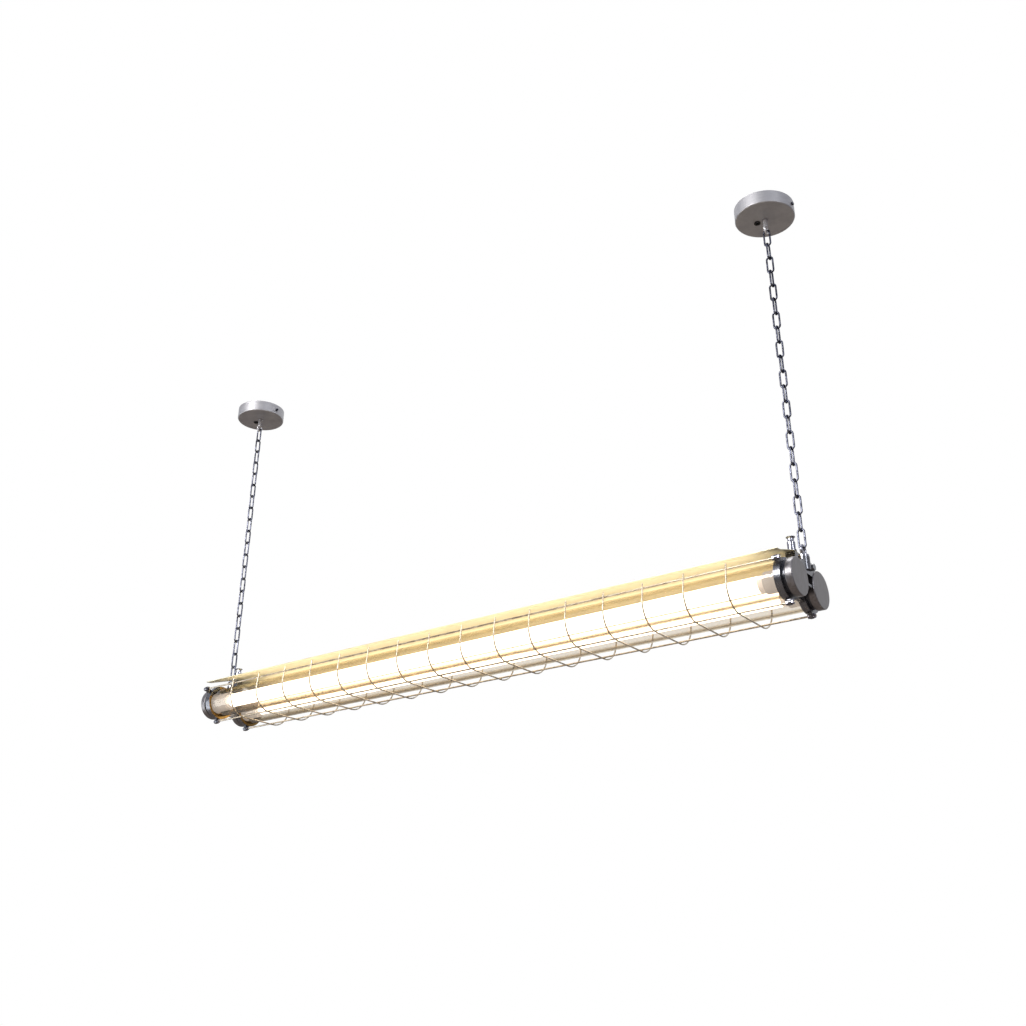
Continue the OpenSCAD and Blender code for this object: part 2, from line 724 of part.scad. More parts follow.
// A round lead that turns its corners on small balls
module lead(points) {
    for (i = [0:len(points) - 2]) {
        step = points[i + 1] - points[i];
        len_xy = norm([step[0], step[1]]);
        translate(points[i]) rotate([0, atan2(len_xy, step[2]), atan2(step[1], step[0])])
            cylinder(h = norm(step), d = lead_d, $fn = 16);
        if (i > 0) translate(points[i]) sphere(d = lead_d + fine, $fn = 16);
    }
}

module leads(side) {
    channel = tube_z + lead_channel_z;
    gap = lead_d / 2 + fine;
    color(dark_steel) at_end(side) for (row = [-1, 1]) lead([
        [gland_x, row * gap, gland_z - gland_tail - slack], [gland_x, row * gap, channel],
        [lead_channel_x, row * gap, channel], [lead_channel_x, row * (tube_y - holder_d / 2 + 5), channel],
    ]);
}

ceiling_plate(-1);  // ceiling_plate_left
ceiling_plate(1);  // ceiling_plate_right
stem(-1);  // stem_left
stem(1);  // stem_right
stem_nuts();
canopy(-1);  // canopy_left
canopy(1);  // canopy_right
canopy_screw(-1, -1);  // canopy_screw_left_outer
canopy_screw(-1, 1);  // canopy_screw_left_inner
canopy_screw(1, -1);  // canopy_screw_right_inner
canopy_screw(1, 1);  // canopy_screw_right_outer
canopy_grommet(-1);  // canopy_grommet_left
canopy_grommet(1);  // canopy_grommet_right
terminal_block();
chain_top_links();
chain(-1);  // chain_left
chain(1);  // chain_right
chain_bottom_links();
eye_bolt(-1);  // eye_bolt_left
eye_bolt(1);  // eye_bolt_right
end_casting(-1);  // end_casting_left
end_casting(1);  // end_casting_right
reflector();
glass(-1);  // glass_front
glass(1);  // glass_rear
glass_seals();
lampholder(-1, -1);  // lampholder_front_left
lampholder(1, -1);  // lampholder_front_right
lampholder(-1, 1);  // lampholder_rear_left
lampholder(1, 1);  // lampholder_rear_right
lamp_tube(-1);  // lamp_tube_front
lamp_tube(1);  // lamp_tube_rear
lamp_caps(-1);  // lamp_caps_front
lamp_caps(1);  // lamp_caps_rear
lamp_board(-1);  // lamp_board_front
lamp_board(1);  // lamp_board_rear
lamp_rotors(-1);  // lamp_rotors_front
lamp_rotors(1);  // lamp_rotors_rear
cap_gasket(-1, -1);  // cap_gasket_front_left
cap_gasket(1, -1);  // cap_gasket_front_right
cap_gasket(-1, 1);  // cap_gasket_rear_left
cap_gasket(1, 1);  // cap_gasket_rear_right
screw_cap(-1, -1);  // screw_cap_front_left
screw_cap(1, -1);  // screw_cap_front_right
screw_cap(-1, 1);  // screw_cap_rear_left
screw_cap(1, 1);  // screw_cap_rear_right
guard_rods();
guard_hoops();
guard_nuts_inner();
guard_nuts_outer();
cable_gland(-1);  // cable_gland_left
cable_gland(1);  // cable_gland_right
gland_nuts();
gland_seals();
leads(-1);  // leads_left
leads(1);  // leads_right
earth_bolts();
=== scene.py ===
import json
import math

import bmesh
import bpy
from bpy.props import FloatProperty, FloatVectorProperty, IntProperty, PointerProperty
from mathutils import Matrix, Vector

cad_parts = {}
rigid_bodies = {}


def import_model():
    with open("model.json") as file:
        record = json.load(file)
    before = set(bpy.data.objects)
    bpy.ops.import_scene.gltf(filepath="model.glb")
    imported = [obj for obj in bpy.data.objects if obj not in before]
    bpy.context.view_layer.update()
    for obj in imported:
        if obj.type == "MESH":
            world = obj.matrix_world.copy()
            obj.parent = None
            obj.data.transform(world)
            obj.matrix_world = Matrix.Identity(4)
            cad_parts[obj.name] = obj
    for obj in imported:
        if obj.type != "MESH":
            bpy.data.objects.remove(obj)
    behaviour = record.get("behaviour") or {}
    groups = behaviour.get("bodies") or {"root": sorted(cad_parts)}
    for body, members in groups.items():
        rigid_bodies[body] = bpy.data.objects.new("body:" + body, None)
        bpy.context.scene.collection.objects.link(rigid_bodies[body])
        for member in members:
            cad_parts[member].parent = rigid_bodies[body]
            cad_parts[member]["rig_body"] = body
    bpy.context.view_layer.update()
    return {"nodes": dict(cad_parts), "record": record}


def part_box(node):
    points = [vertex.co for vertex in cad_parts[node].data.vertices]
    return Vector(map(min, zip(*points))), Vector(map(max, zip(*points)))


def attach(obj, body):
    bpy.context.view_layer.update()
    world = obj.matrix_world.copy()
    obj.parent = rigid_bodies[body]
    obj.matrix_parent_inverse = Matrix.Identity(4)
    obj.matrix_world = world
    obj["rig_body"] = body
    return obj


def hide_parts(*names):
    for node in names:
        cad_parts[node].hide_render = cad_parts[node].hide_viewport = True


bl_info = {
    "name": "Twin tube pendant light",
    "version": (1, 0, 0),
    "blender": (4, 5, 0),
    "location": "View3D > Sidebar > Pendant",
    "description": "Dresses a chain hung twin tube light with wire, chain, sheet metal, glass and lit lamps",
    "category": "Object",
}

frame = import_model()
NODES = frame["nodes"]
SLOTS = {part["node"]: part["material_slot"] for part in frame["record"]["subparts"]}
MM = 0.001
QUARTER = math.pi / 2
# Left and right along X, or front and rear along Y
SIDES = (-1, 1)


# Places read from the frame

def middle(node):
    """Centre of a CAD node's box."""
    low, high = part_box(node)
    return (low + high) / 2


TUBE_Y = middle("glass_rear").y
TUBE_Z = middle("glass_rear").z
EYE_X = middle("stem_right").x
HOOP_LOW, HOOP_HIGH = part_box("guard_hoops")
ROD_LOW, ROD_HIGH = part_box("guard_rods")
SHEET_LOW, SHEET_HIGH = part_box("reflector")
LINKS_LOW, LINKS_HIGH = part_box("chain_left")
GLASS_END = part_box("glass_rear")[1].x
CAP_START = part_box("screw_cap_rear_right")[0].x
NUT_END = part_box("guard_nuts_outer")[1].x


def linear(code):
    """Turns an sRGB hex colour such as #a0b0c0 into linear RGBA."""
    values = [int(code[i:i + 2], 16) / 255 for i in (1, 3, 5)]
    return [v / 12.92 if v <= 0.04045 else ((v + 0.055) / 1.055) ** 2.4 for v in values] + [1.0]


class PendantSizes(bpy.types.PropertyGroup):
    wire: FloatProperty(
        name="Hoop wire", description="Diameter of the guard's hoops", default=2.5 * MM, unit="LENGTH")
    rod: FloatProperty(
        name="Rod", description="Diameter of the guard's long rods", default=3 * MM, unit="LENGTH")
    lean: FloatProperty(
        name="Leg lean", description="Inward lean of the hoops' legs", default=math.radians(7),
        subtype="ANGLE")
    hoops: IntProperty(
        name="Hoops", description="Number of hoops in the guard", default=16, min=2)
    link_wire: FloatProperty(
        name="Link wire", description="Wire diameter of a chain link", default=3.2 * MM, unit="LENGTH")
    link_inside: FloatProperty(
        name="Link width", description="Inner width of a link", default=7.6 * MM, unit="LENGTH")
    link_inner: FloatProperty(
        name="Link length", description="Inner length of a link", default=28.8 * MM, unit="LENGTH")
    links: IntProperty(
        name="Links", description="Links of one chain without its first and last", default=19, min=2)
    sheet: FloatProperty(
        name="Sheet", description="Thickness of the reflector", default=1.2 * MM, unit="LENGTH")
    lip: FloatProperty(
        name="Lip", description="Width of the reflector's lip", default=12 * MM, unit="LENGTH")
    ridge: FloatProperty(
        name="Ridge", description="Half width of the reflector's flat ridge", default=12 * MM, unit="LENGTH")
    bend: FloatProperty(
        name="Bend", description="Radius of the reflector's folds", default=5 * MM, unit="LENGTH")
    thread: FloatProperty(
        name="Thread pitch", description="Distance between two turns on the necks", default=1.5 * MM,
        unit="LENGTH")


class PendantColours(bpy.types.PropertyGroup):
    glow: FloatVectorProperty(
        name="Glow", description="Colour of the lit lamps", subtype="COLOR", size=4,
        default=linear("#fff4e4"), min=0, max=1)
    glow_strength: FloatProperty(
        name="Glow strength", description="Brightness of the lit lamps", default=3.2, min=0)
    backdrop: FloatVectorProperty(
        name="Backdrop", description="Colour of the floor and backdrop", subtype="COLOR", size=4,
        default=linear("#ffffff"), min=0, max=1)


# Materials

# Most of a noise's values lie between these
NOISE_SPAN = {"From Min": 0.3, "From Max": 0.7}
# Numbers of a colour Mix node's sockets, some of which share a name
FACTOR, COLOUR_A, COLOUR_B, MIXED = 0, 6, 7, 2
# Depth of a bump's relief, and of a finer one
RELIEF = 0.1 * MM
FINE_RELIEF = 0.05 * MM


def add(tree, kind, inputs=None, **settings):
    """Adds a node. Inputs map a socket's name or number to a value or to another node's output."""
    made = tree.nodes.new(kind)
    for key, value in settings.items():
        setattr(made, key, value)
    for key, value in (inputs or {}).items():
        if isinstance(value, bpy.types.NodeSocket):
            tree.links.new(value, made.inputs[key])
        else:
            made.inputs[key].default_value = value
    return made


def new_material(name):
    """A material with its tree, output and Object coordinates. One that exists comes without a tree."""
    made = bpy.data.materials.get(name)
    if made:
        return made, None, None, None
    made = bpy.data.materials.new(name)
    made.use_nodes = True
    tree = made.node_tree
    tree.nodes.clear()
    output = add(tree, "ShaderNodeOutputMaterial")
    place = add(tree, "ShaderNodeTexCoord").outputs["Object"]
    return made, tree, output, place


def grain_scale(grain, way=(1, 1, 1)):
    """Scale of a pattern with the given grain in metres, drawn out along an axis whose share is small."""
    return tuple(share / grain for share in way)


def metal(name, light, dark, rough, grain, way=(1, 1, 1), bump=0.1, metallic=1.0, spread=0.08,
          edge="#ffffff"):
    """A metal whose colour, gloss and relief vary with a noise of the given grain, drawn out one way."""
    made, tree, output, place = new_material(name)
    if tree is None:
        return made
    drawn = add(tree, "ShaderNodeMapping", {"Vector": place, "Scale": grain_scale(grain, way)}).outputs[0]
    noise = add(tree, "ShaderNodeTexNoise", {
        "Vector": drawn, "Scale": 1.0, "Detail": 3.0, "Roughness": 0.6}).outputs[0]
    tone = add(tree, "ShaderNodeMapRange", {"Value": noise, **NOISE_SPAN}).outputs[0]
    base = add(tree, "ShaderNodeMix", {
        FACTOR: tone, COLOUR_A: linear(dark), COLOUR_B: linear(light)}, data_type="RGBA").outputs[MIXED]
    gloss = add(tree, "ShaderNodeMapRange", {
        "Value": noise, **NOISE_SPAN, "To Min": rough - spread, "To Max": rough + spread}).outputs[0]
    relief = add(tree, "ShaderNodeBump", {"Strength": bump, "Distance": RELIEF, "Height": noise}).outputs[0]
    shader = add(tree, "ShaderNodeBsdfPrincipled", {
        "Base Color": base, "Metallic": metallic, "Roughness": gloss, "Normal": relief,
        "Specular Tint": linear(edge)})
    tree.links.new(shader.outputs[0], output.inputs[0])
    return made


def plated_wire():
    # Nickel plate on drawn wire: a warm grey mirror that takes up the sheet's gold. The faint drawing lines
    # are coarser than real ones, so that they show
    return metal("nickel_plated_wire", "#cbc2b0", "#9a9082", rough=0.26, grain=2.5 * MM, way=(0.15, 1, 1),
                 bump=0.08)


def chain_steel():
    # Bright zinc plated chain: blueish grey and a little worn, so its gloss changes from link to link. Its
    # reflections turn near black at grazing angles, painted shade that draws the links' dark outlines
    return metal("zinc_plated_chain", "#7f8291", "#232531", rough=0.2, grain=5 * MM, bump=0.12,
                 edge="#0c0d14")


def polished_steel():
    # Polished chromed steel of the eye bolts and glands: near mirror, slightly cool
    return metal("polished_chromed_steel", "#b9bac3", "#8f909c", rough=0.13, grain=8 * MM, bump=0.03,
                 spread=0.04)


def bright_nuts():
    # Chromed nuts of the guard with a blue cast and soft edges, worn by the spanner
    return metal("worn_chromed_steel", "#8d8c98", "#4a495a", rough=0.24, grain=3 * MM, spread=0.06)


def dark_steel():
    # Blackened steel of the thumb screws and neck threads: blue black with a soft shine
    return metal("blackened_steel", "#3c3f4c", "#1d1f28", rough=0.34, grain=1.5 * MM, bump=0.15,
                 metallic=0.9)


def zinc_plate():
    # Zinc plated steel of the ceiling plates, stem nuts and earth bolts: satin with a fine spangle
    return metal("zinc_plated_sheet", "#a9abad", "#85878b", rough=0.42, grain=5 * MM, bump=0.05)


def turned_stem():
    # Turned and polished stem: bright also where it mirrors the dark canopy
    return metal("bright_turned_steel", "#e6e6ea", "#c4c4ca", rough=0.22, grain=6 * MM, way=(1, 1, 0.2),
                 bump=0.04, metallic=0.6, spread=0.04)


def satin_nickel():
    # Spun canopy with satin nickel: soft broad highlights, and turned lines all round, which are coarser
    # than real ones, so that they show
    return metal("spun_satin_nickel", "#b5b5b8", "#a4a4a8", rough=0.52, grain=0.9 * MM, way=(0.06, 0.06, 1),
                 bump=0.03, metallic=0.85, spread=0.05)


def cast_end():
    # Turned cast iron end with clear lacquer: dark grey with faint cutter lines across its faces, drawn
    # coarser than real ones, so that they show
    return metal("turned_lacquered_casting", "#7c7e84", "#5c5c61", rough=0.26, grain=1.2 * MM,
                 way=(1, 0.12, 1), metallic=0.9)


def seat_painted_reflection():
    # Golden brown painted inside the castings, where the tubes sit: a painted reflection of the lamps' light
    # in the bores
    return metal("painted_lamp_reflection", "#b08f52", "#6e5328", rough=0.32, grain=3 * MM, metallic=0.8)


def cap_metal():
    # Screw caps: the same casting, brushed up and down, clouded by wear, with worn bright edges. The brush
    # marks are drawn a few millimetres wide, so that they show
    made, tree, output, place = new_material("brushed_cast_cap")
    if tree is None:
        return made
    brush = grain_scale(1 * MM, (0.3, 0.42, 0.045))
    brushed = add(tree, "ShaderNodeMapping", {"Vector": place, "Scale": brush}).outputs[0]
    lines = add(tree, "ShaderNodeTexNoise", {"Vector": brushed, "Scale": 1.0, "Detail": 2.0}).outputs[0]
    clouds = add(tree, "ShaderNodeTexNoise", {
        "Vector": place, "Scale": 1 / (14.3 * MM), "Detail": 2.0}).outputs[0]
    edge = add(tree, "ShaderNodeNewGeometry").outputs["Pointiness"]
    worn = add(tree, "ShaderNodeMapRange", {"Value": edge, "From Min": 0.5, "From Max": 0.56}).outputs[0]
    streak = add(tree, "ShaderNodeMapRange", {"Value": lines, "From Min": 0.38, "From Max": 0.6}).outputs[0]
    cloud = add(tree, "ShaderNodeMapRange", {
        "Value": clouds, "From Min": 0.35, "From Max": 0.7, "To Max": 0.35}).outputs[0]
    base = add(tree, "ShaderNodeMix", {
        FACTOR: streak, COLOUR_A: linear("#38332f"), COLOUR_B: linear("#636164")},
        data_type="RGBA").outputs[MIXED]
    shade = add(tree, "ShaderNodeMix", {
        FACTOR: cloud, COLOUR_A: base, COLOUR_B: linear("#3c3936")}, data_type="RGBA").outputs[MIXED]
    colour = add(tree, "ShaderNodeMix", {
        FACTOR: worn, COLOUR_A: shade, COLOUR_B: linear("#a5a3a6")}, data_type="RGBA").outputs[MIXED]
    relief = add(tree, "ShaderNodeBump", {
        "Strength": 0.12, "Distance": FINE_RELIEF, "Height": lines}).outputs[0]
    gloss = add(tree, "ShaderNodeMapRange", {
        "Value": lines, **NOISE_SPAN, "To Min": 0.3, "To Max": 0.42}).outputs[0]
    shader = add(tree, "ShaderNodeBsdfPrincipled", {
        "Base Color": colour, "Metallic": 0.9, "Roughness": gloss, "Normal": relief})
    tree.links.new(shader.outputs[0], output.inputs[0])
    return made


def gold_sheet(name="gold_anodised_aluminium", light="#eee9cb", dark="#e2ddbc"):
    # Folded aluminium sheet, light gold anodised and satin: spreads the lamps' light in a warm gradient. Its
    # rolling lines are drawn about a millimetre apart, so that they show
    made, tree, output, place = new_material(name)
    if tree is None:
        return made
    rolling = grain_scale(1 * MM, (0.006, 0.9, 0.9))
    rolled = add(tree, "ShaderNodeMapping", {"Vector": place, "Scale": rolling}).outputs[0]
    lines = add(tree, "ShaderNodeTexNoise", {"Vector": rolled, "Scale": 1.0, "Detail": 2.0}).outputs[0]
    tone = add(tree, "ShaderNodeMapRange", {"Value": lines, **NOISE_SPAN}).outputs[0]
    base = add(tree, "ShaderNodeMix", {
        FACTOR: tone, COLOUR_A: linear(dark), COLOUR_B: linear(light)}, data_type="RGBA").outputs[MIXED]
    relief = add(tree, "ShaderNodeBump", {
        "Strength": 0.06, "Distance": FINE_RELIEF, "Height": lines}).outputs[0]
    gloss = add(tree, "ShaderNodeMapRange", {
        "Value": lines, **NOISE_SPAN, "To Min": 0.34, "To Max": 0.44}).outputs[0]
    shader = add(tree, "ShaderNodeBsdfPrincipled", {
        "Base Color": base, "Metallic": 0.4, "Roughness": gloss, "Normal": relief})
    tree.links.new(shader.outputs[0], output.inputs[0])
    return made


def gold_outside_painted_shade():
    # The sheet's outer side, a deeper gold painted as shade so that the studio lights don't wash it out
    return gold_sheet("shaded_anodised_aluminium", "#c9bd92", "#b9ac80")


def tube_glass():
    # Drawn glass tube with a warm smoky tint: at a flat angle it lets less light through and shines more
    made, tree, output, place = new_material("drawn_smoky_glass")
    if tree is None:
        return made
    drawing = grain_scale(10 * MM, (0.03, 1.2, 1.2))
    drawn = add(tree, "ShaderNodeMapping", {"Vector": place, "Scale": drawing}).outputs[0]
    lines = add(tree, "ShaderNodeTexNoise", {"Vector": drawn, "Scale": 1.0}).outputs[0]
    facing = add(tree, "ShaderNodeLayerWeight", {"Blend": 0.5}).outputs["Facing"]
    flat = add(tree, "ShaderNodeMapRange", {
        "Value": facing, "From Min": 0.35, "From Max": 0.8}, interpolation_type="SMOOTHSTEP").outputs[0]
    tint = add(tree, "ShaderNodeMix", {
        FACTOR: flat, COLOUR_A: linear("#f9f7f4"), COLOUR_B: linear("#e1dacc")},
        data_type="RGBA").outputs[MIXED]
    clear = add(tree, "ShaderNodeBsdfTransparent", {"Color": tint})
    gloss = add(tree, "ShaderNodeMapRange", {
        "Value": lines, **NOISE_SPAN, "To Min": 0.03, "To Max": 0.09}).outputs[0]
    shine = add(tree, "ShaderNodeBsdfGlossy", {"Color": linear("#f5f1e8"), "Roughness": gloss})
    share = add(tree, "ShaderNodeMapRange", {"Value": flat, "To Min": 0.03, "To Max": 0.42}).outputs[0]
    mix = add(tree, "ShaderNodeMixShader", {0: share, 1: clear.outputs[0], 2: shine.outputs[0]})
    tree.links.new(mix.outputs[0], output.inputs[0])
    made.surface_render_method = "BLENDED"
    return made


def lit_tube(colours):
    # Frosted lamp tube, lit from inside: even warm white over its whole length
    made, tree, output, place = new_material("lit_frosted_tube")
    if tree is None:
        return made
    mottle = add(tree, "ShaderNodeTexNoise", {"Vector": place, "Scale": 1 / (33.3 * MM)}).outputs[0]
    strength = add(tree, "ShaderNodeMapRange", {
        "Value": mottle, **NOISE_SPAN, "To Min": 0.97 * colours.glow_strength,
        "To Max": 1.03 * colours.glow_strength}).outputs[0]
    shader = add(tree, "ShaderNodeBsdfPrincipled", {
        "Base Color": linear("#fff4e2"), "Roughness": 0.35, "Emission Color": list(colours.glow),
        "Emission Strength": strength})
    tree.links.new(shader.outputs[0], output.inputs[0])
    return made


def plastic(name, light, dark, rough, grain):
    """A moulded plastic or rubber whose colour, gloss and relief vary with a fine grain."""
    made, tree, output, place = new_material(name)
    if tree is None:
        return made
    noise = add(tree, "ShaderNodeTexNoise", {"Vector": place, "Scale": 1 / grain, "Detail": 2.0}).outputs[0]
    relief = add(tree, "ShaderNodeBump", {"Strength": 0.15, "Distance": RELIEF, "Height": noise}).outputs[0]
    base = add(tree, "ShaderNodeMix", {
        FACTOR: noise, COLOUR_A: linear(dark), COLOUR_B: linear(light)}, data_type="RGBA").outputs[MIXED]
    gloss = add(tree, "ShaderNodeMapRange", {
        "Value": noise, **NOISE_SPAN, "To Min": rough - 0.05, "To Max": rough + 0.05}).outputs[0]
    shader = add(tree, "ShaderNodeBsdfPrincipled", {
        "Base Color": base, "Roughness": gloss, "Normal": relief})
    tree.links.new(shader.outputs[0], output.inputs[0])
    return made


def black_rubber():
    # Moulded EPDM rubber seals: matt black with a dusty grain
    return plastic("moulded_epdm_rubber", "#242424", "#121212", rough=0.75, grain=0.8 * MM)


def white_polyamide():
    # Connector block of moulded polyamide: a dull, slightly warm white
    return plastic("moulded_white_polyamide", "#e4e3dc", "#d5d3ca", rough=0.5, grain=1 * MM)


def board_white():
    # Lamp board under white solder mask: clean white with half a gloss
    return plastic("white_solder_mask", "#f1f1ec", "#e4e4dd", rough=0.4, grain=1 * MM)


def lead_silicone():
    # Silicone insulated leads: dark and slightly glossy
    return plastic("silicone_lead", "#2c2b2e", "#1c1b1e", rough=0.5, grain=0.6 * MM)


def painted_glow_plastic(name, light, dark, rough, glow_colour, glow, grain, shine=0.5):
    """A plastic with a painted glow, an emission that stands for a lamp's light from inside. Rough and glow
    are the lowest and highest of their range.
    """
    made, tree, output, place = new_material(name)
    if tree is None:
        return made
    cloud = add(tree, "ShaderNodeTexNoise", {"Vector": place, "Scale": 1 / grain, "Detail": 2.0}).outputs[0]
    base = add(tree, "ShaderNodeMix", {
        FACTOR: cloud, COLOUR_A: linear(dark), COLOUR_B: linear(light)}, data_type="RGBA").outputs[MIXED]
    gloss = add(tree, "ShaderNodeMapRange", {
        "Value": cloud, **NOISE_SPAN, "To Min": rough[0], "To Max": rough[1]}).outputs[0]
    strength = add(tree, "ShaderNodeMapRange", {
        "Value": cloud, **NOISE_SPAN, "To Min": glow[0], "To Max": glow[1]}).outputs[0]
    shader = add(tree, "ShaderNodeBsdfPrincipled", {
        "Base Color": base, "Roughness": gloss, "Specular IOR Level": shine,
        "Emission Color": linear(glow_colour), "Emission Strength": strength})
    tree.links.new(shader.outputs[0], output.inputs[0])
    return made


def holder_plastic():
    # Lampholder of translucent opal plastic with a painted glow: an emission stands for the lamp's light
    # that spreads through it, and it has no sharp shine
    return painted_glow_plastic("opal_plastic_painted_glow", "#a39c96", "#8f8984", rough=(0.5, 0.6),
                           glow_colour="#f1e6dc", glow=(0.42, 0.48), grain=16.7 * MM, shine=0.2)


def lamp_sleeve():
    # End sleeve of the lamp in white polycarbonate with a painted glow: an emission, weaker than the tube's,
    # stands for the light inside
    return painted_glow_plastic("polycarbonate_sleeve_painted_glow", "#dcd4cb", "#cfc6bc", rough=(0.45, 0.55),
                           glow_colour="#f6ebdf", glow=(0.5, 0.6), grain=12.5 * MM)


# Mesh helpers

# Sockets of a tree that repeats a thing in a row
ROW = {"Count": "Int", "First": "Vector", "Step": "Vector"}


def show(name, mesh, finish, slot, body, *stands_for):
    """Makes a mesh a piece with one finish, which rides on a body and may stand for CAD nodes."""
    piece = bpy.data.objects.new(name, mesh)
    bpy.context.scene.collection.objects.link(piece)
    mesh.materials.clear()
    mesh.materials.append(finish)
    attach(piece, body)
    if stands_for:
        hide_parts(*stands_for)
    return piece


def new_tree(name, sockets):
    """A Geometry Nodes tree that takes geometry, the named sizes and a finish, and gives geometry."""
    tree = bpy.data.node_groups.new(name, "GeometryNodeTree")
    tree.interface.new_socket("Geometry", in_out="INPUT", socket_type="NodeSocketGeometry")
    for label, kind in sockets.items():
        tree.interface.new_socket(label, in_out="INPUT", socket_type=f"NodeSocket{kind}")
    tree.interface.new_socket("Finish", in_out="INPUT", socket_type="NodeSocketMaterial")
    tree.interface.new_socket("Geometry", in_out="OUTPUT", socket_type="NodeSocketGeometry")
    return tree, add(tree, "NodeGroupInput").outputs, add(tree, "NodeGroupOutput")


def in_row(tree, inputs, thing, turn=(0, 0, 0)):
    """Repeats a thing in a row of equal steps."""
    row = add(tree, "GeometryNodeMeshLine", {
        "Count": inputs["Count"], "Start Location": inputs["First"], "Offset": inputs["Step"]}).outputs[0]
    placed = add(tree, "GeometryNodeInstanceOnPoints", {"Points": row, "Instance": thing, "Rotation": turn})
    return placed.outputs[0]


def close_tree(tree, geometry, finish, output):
    """Ends a tree in Realize Instances, smooth shading and Set Material."""
    real = add(tree, "GeometryNodeRealizeInstances", {0: geometry})
    shaded = add(tree, "GeometryNodeSetShadeSmooth", {0: real.outputs[0], "Shade Smooth": True})
    painted = add(tree, "GeometryNodeSetMaterial", {0: shaded.outputs[0], "Material": finish})
    tree.links.new(painted.outputs[0], output.inputs[0])


def grown(tree, base, values):
    """Runs a tree on a base mesh with the given sizes and returns the plain mesh."""
    holder = bpy.data.objects.new("grower", base)
    bpy.context.scene.collection.objects.link(holder)
    modifier = holder.modifiers.new("grow", "NODES")
    modifier.node_group = tree
    sockets = {s.name: s.identifier for s in tree.interface.items_tree if s.in_out == "INPUT"}
    for label, value in values.items():
        modifier[sockets[label]] = value
    bpy.context.view_layer.update()
    solid = bpy.data.meshes.new_from_object(holder.evaluated_get(bpy.context.evaluated_depsgraph_get()))
    bpy.data.objects.remove(holder)
    return solid


def base_mesh(name, points, edges=()):
    """A mesh of points, and of edges where it has any, from which a tree grows."""
    mesh = bpy.data.meshes.new(name)
    mesh.from_pydata([tuple(p) for p in points], list(edges), [])
    return mesh


def path_mesh(name, points):
    """A mesh of one open line of points."""
    return base_mesh(name, points, [(i, i + 1) for i in range(len(points) - 1)])


# Chain

# Steps of the wire's section and of each round corner of a link
LINK_SIDES = 14
LINK_CORNER_STEPS = 10
# A corner as wide as half the link would close its short side up, so it is a little less
CORNER_SHARE = 0.98
# Radius of a link's weld bead over that of its wire, and the bead's rings
BEAD_SHARE = 1.12
BEAD_RINGS = 8


def link_tree():
    """A row of welded links that turn from one to the next."""
    tree, inputs, output = new_tree("link_row", {
        **ROW, "Turn": "Float", "Bend Radius": "Float", "Length": "Float", "Wire Radius": "Float"})
    bend, wire, turn = inputs["Bend Radius"], inputs["Wire Radius"], inputs["Turn"]
    width = add(tree, "ShaderNodeMath", {0: bend, 1: 2.0}, operation="MULTIPLY").outputs[0]
    outline = add(tree, "GeometryNodeCurvePrimitiveQuadrilateral", {
        "Width": width, "Height": inputs["Length"]}, mode="RECTANGLE").outputs[0]
    corner = add(tree, "ShaderNodeMath", {0: bend, 1: CORNER_SHARE}, operation="MULTIPLY").outputs[0]
    rounding = add(tree, "GeometryNodeFilletCurve", {
        0: outline, "Count": LINK_CORNER_STEPS, "Radius": corner}, mode="POLY").outputs[0]
    section = add(tree, "GeometryNodeCurvePrimitiveCircle", {
        "Resolution": LINK_SIDES, "Radius": wire}).outputs[0]
    ring = add(tree, "GeometryNodeCurveToMesh", {0: rounding, 1: section}).outputs[0]
    swell = add(tree, "ShaderNodeMath", {0: wire, 1: BEAD_SHARE}, operation="MULTIPLY").outputs[0]
    bead = add(tree, "GeometryNodeMeshUVSphere", {
        "Segments": LINK_SIDES, "Rings": BEAD_RINGS, "Radius": swell}).outputs[0]
    bead_place = add(tree, "ShaderNodeCombineXYZ", {"X": bend}).outputs[0]
    placed = add(tree, "GeometryNodeTransform", {0: bead, "Translation": bead_place}).outputs[0]
    whole = add(tree, "GeometryNodeJoinGeometry", {0: ring})
    tree.links.new(placed, whole.inputs[0])
    upright = add(tree, "GeometryNodeTransform", {
        0: whole.outputs[0], "Rotation": (QUARTER, 0, 0)}).outputs[0]
    number = add(tree, "GeometryNodeInputIndex").outputs[0]
    turned = add(tree, "ShaderNodeMath", {0: number, 1: turn, 2: turn}, operation="MULTIPLY_ADD").outputs[0]
    spin = add(tree, "ShaderNodeCombineXYZ", {"Z": turned}).outputs[0]
    angle = add(tree, "FunctionNodeEulerToRotation", {0: spin}).outputs[0]
    close_tree(tree, in_row(tree, inputs, upright, angle), inputs["Finish"], output)
    return tree


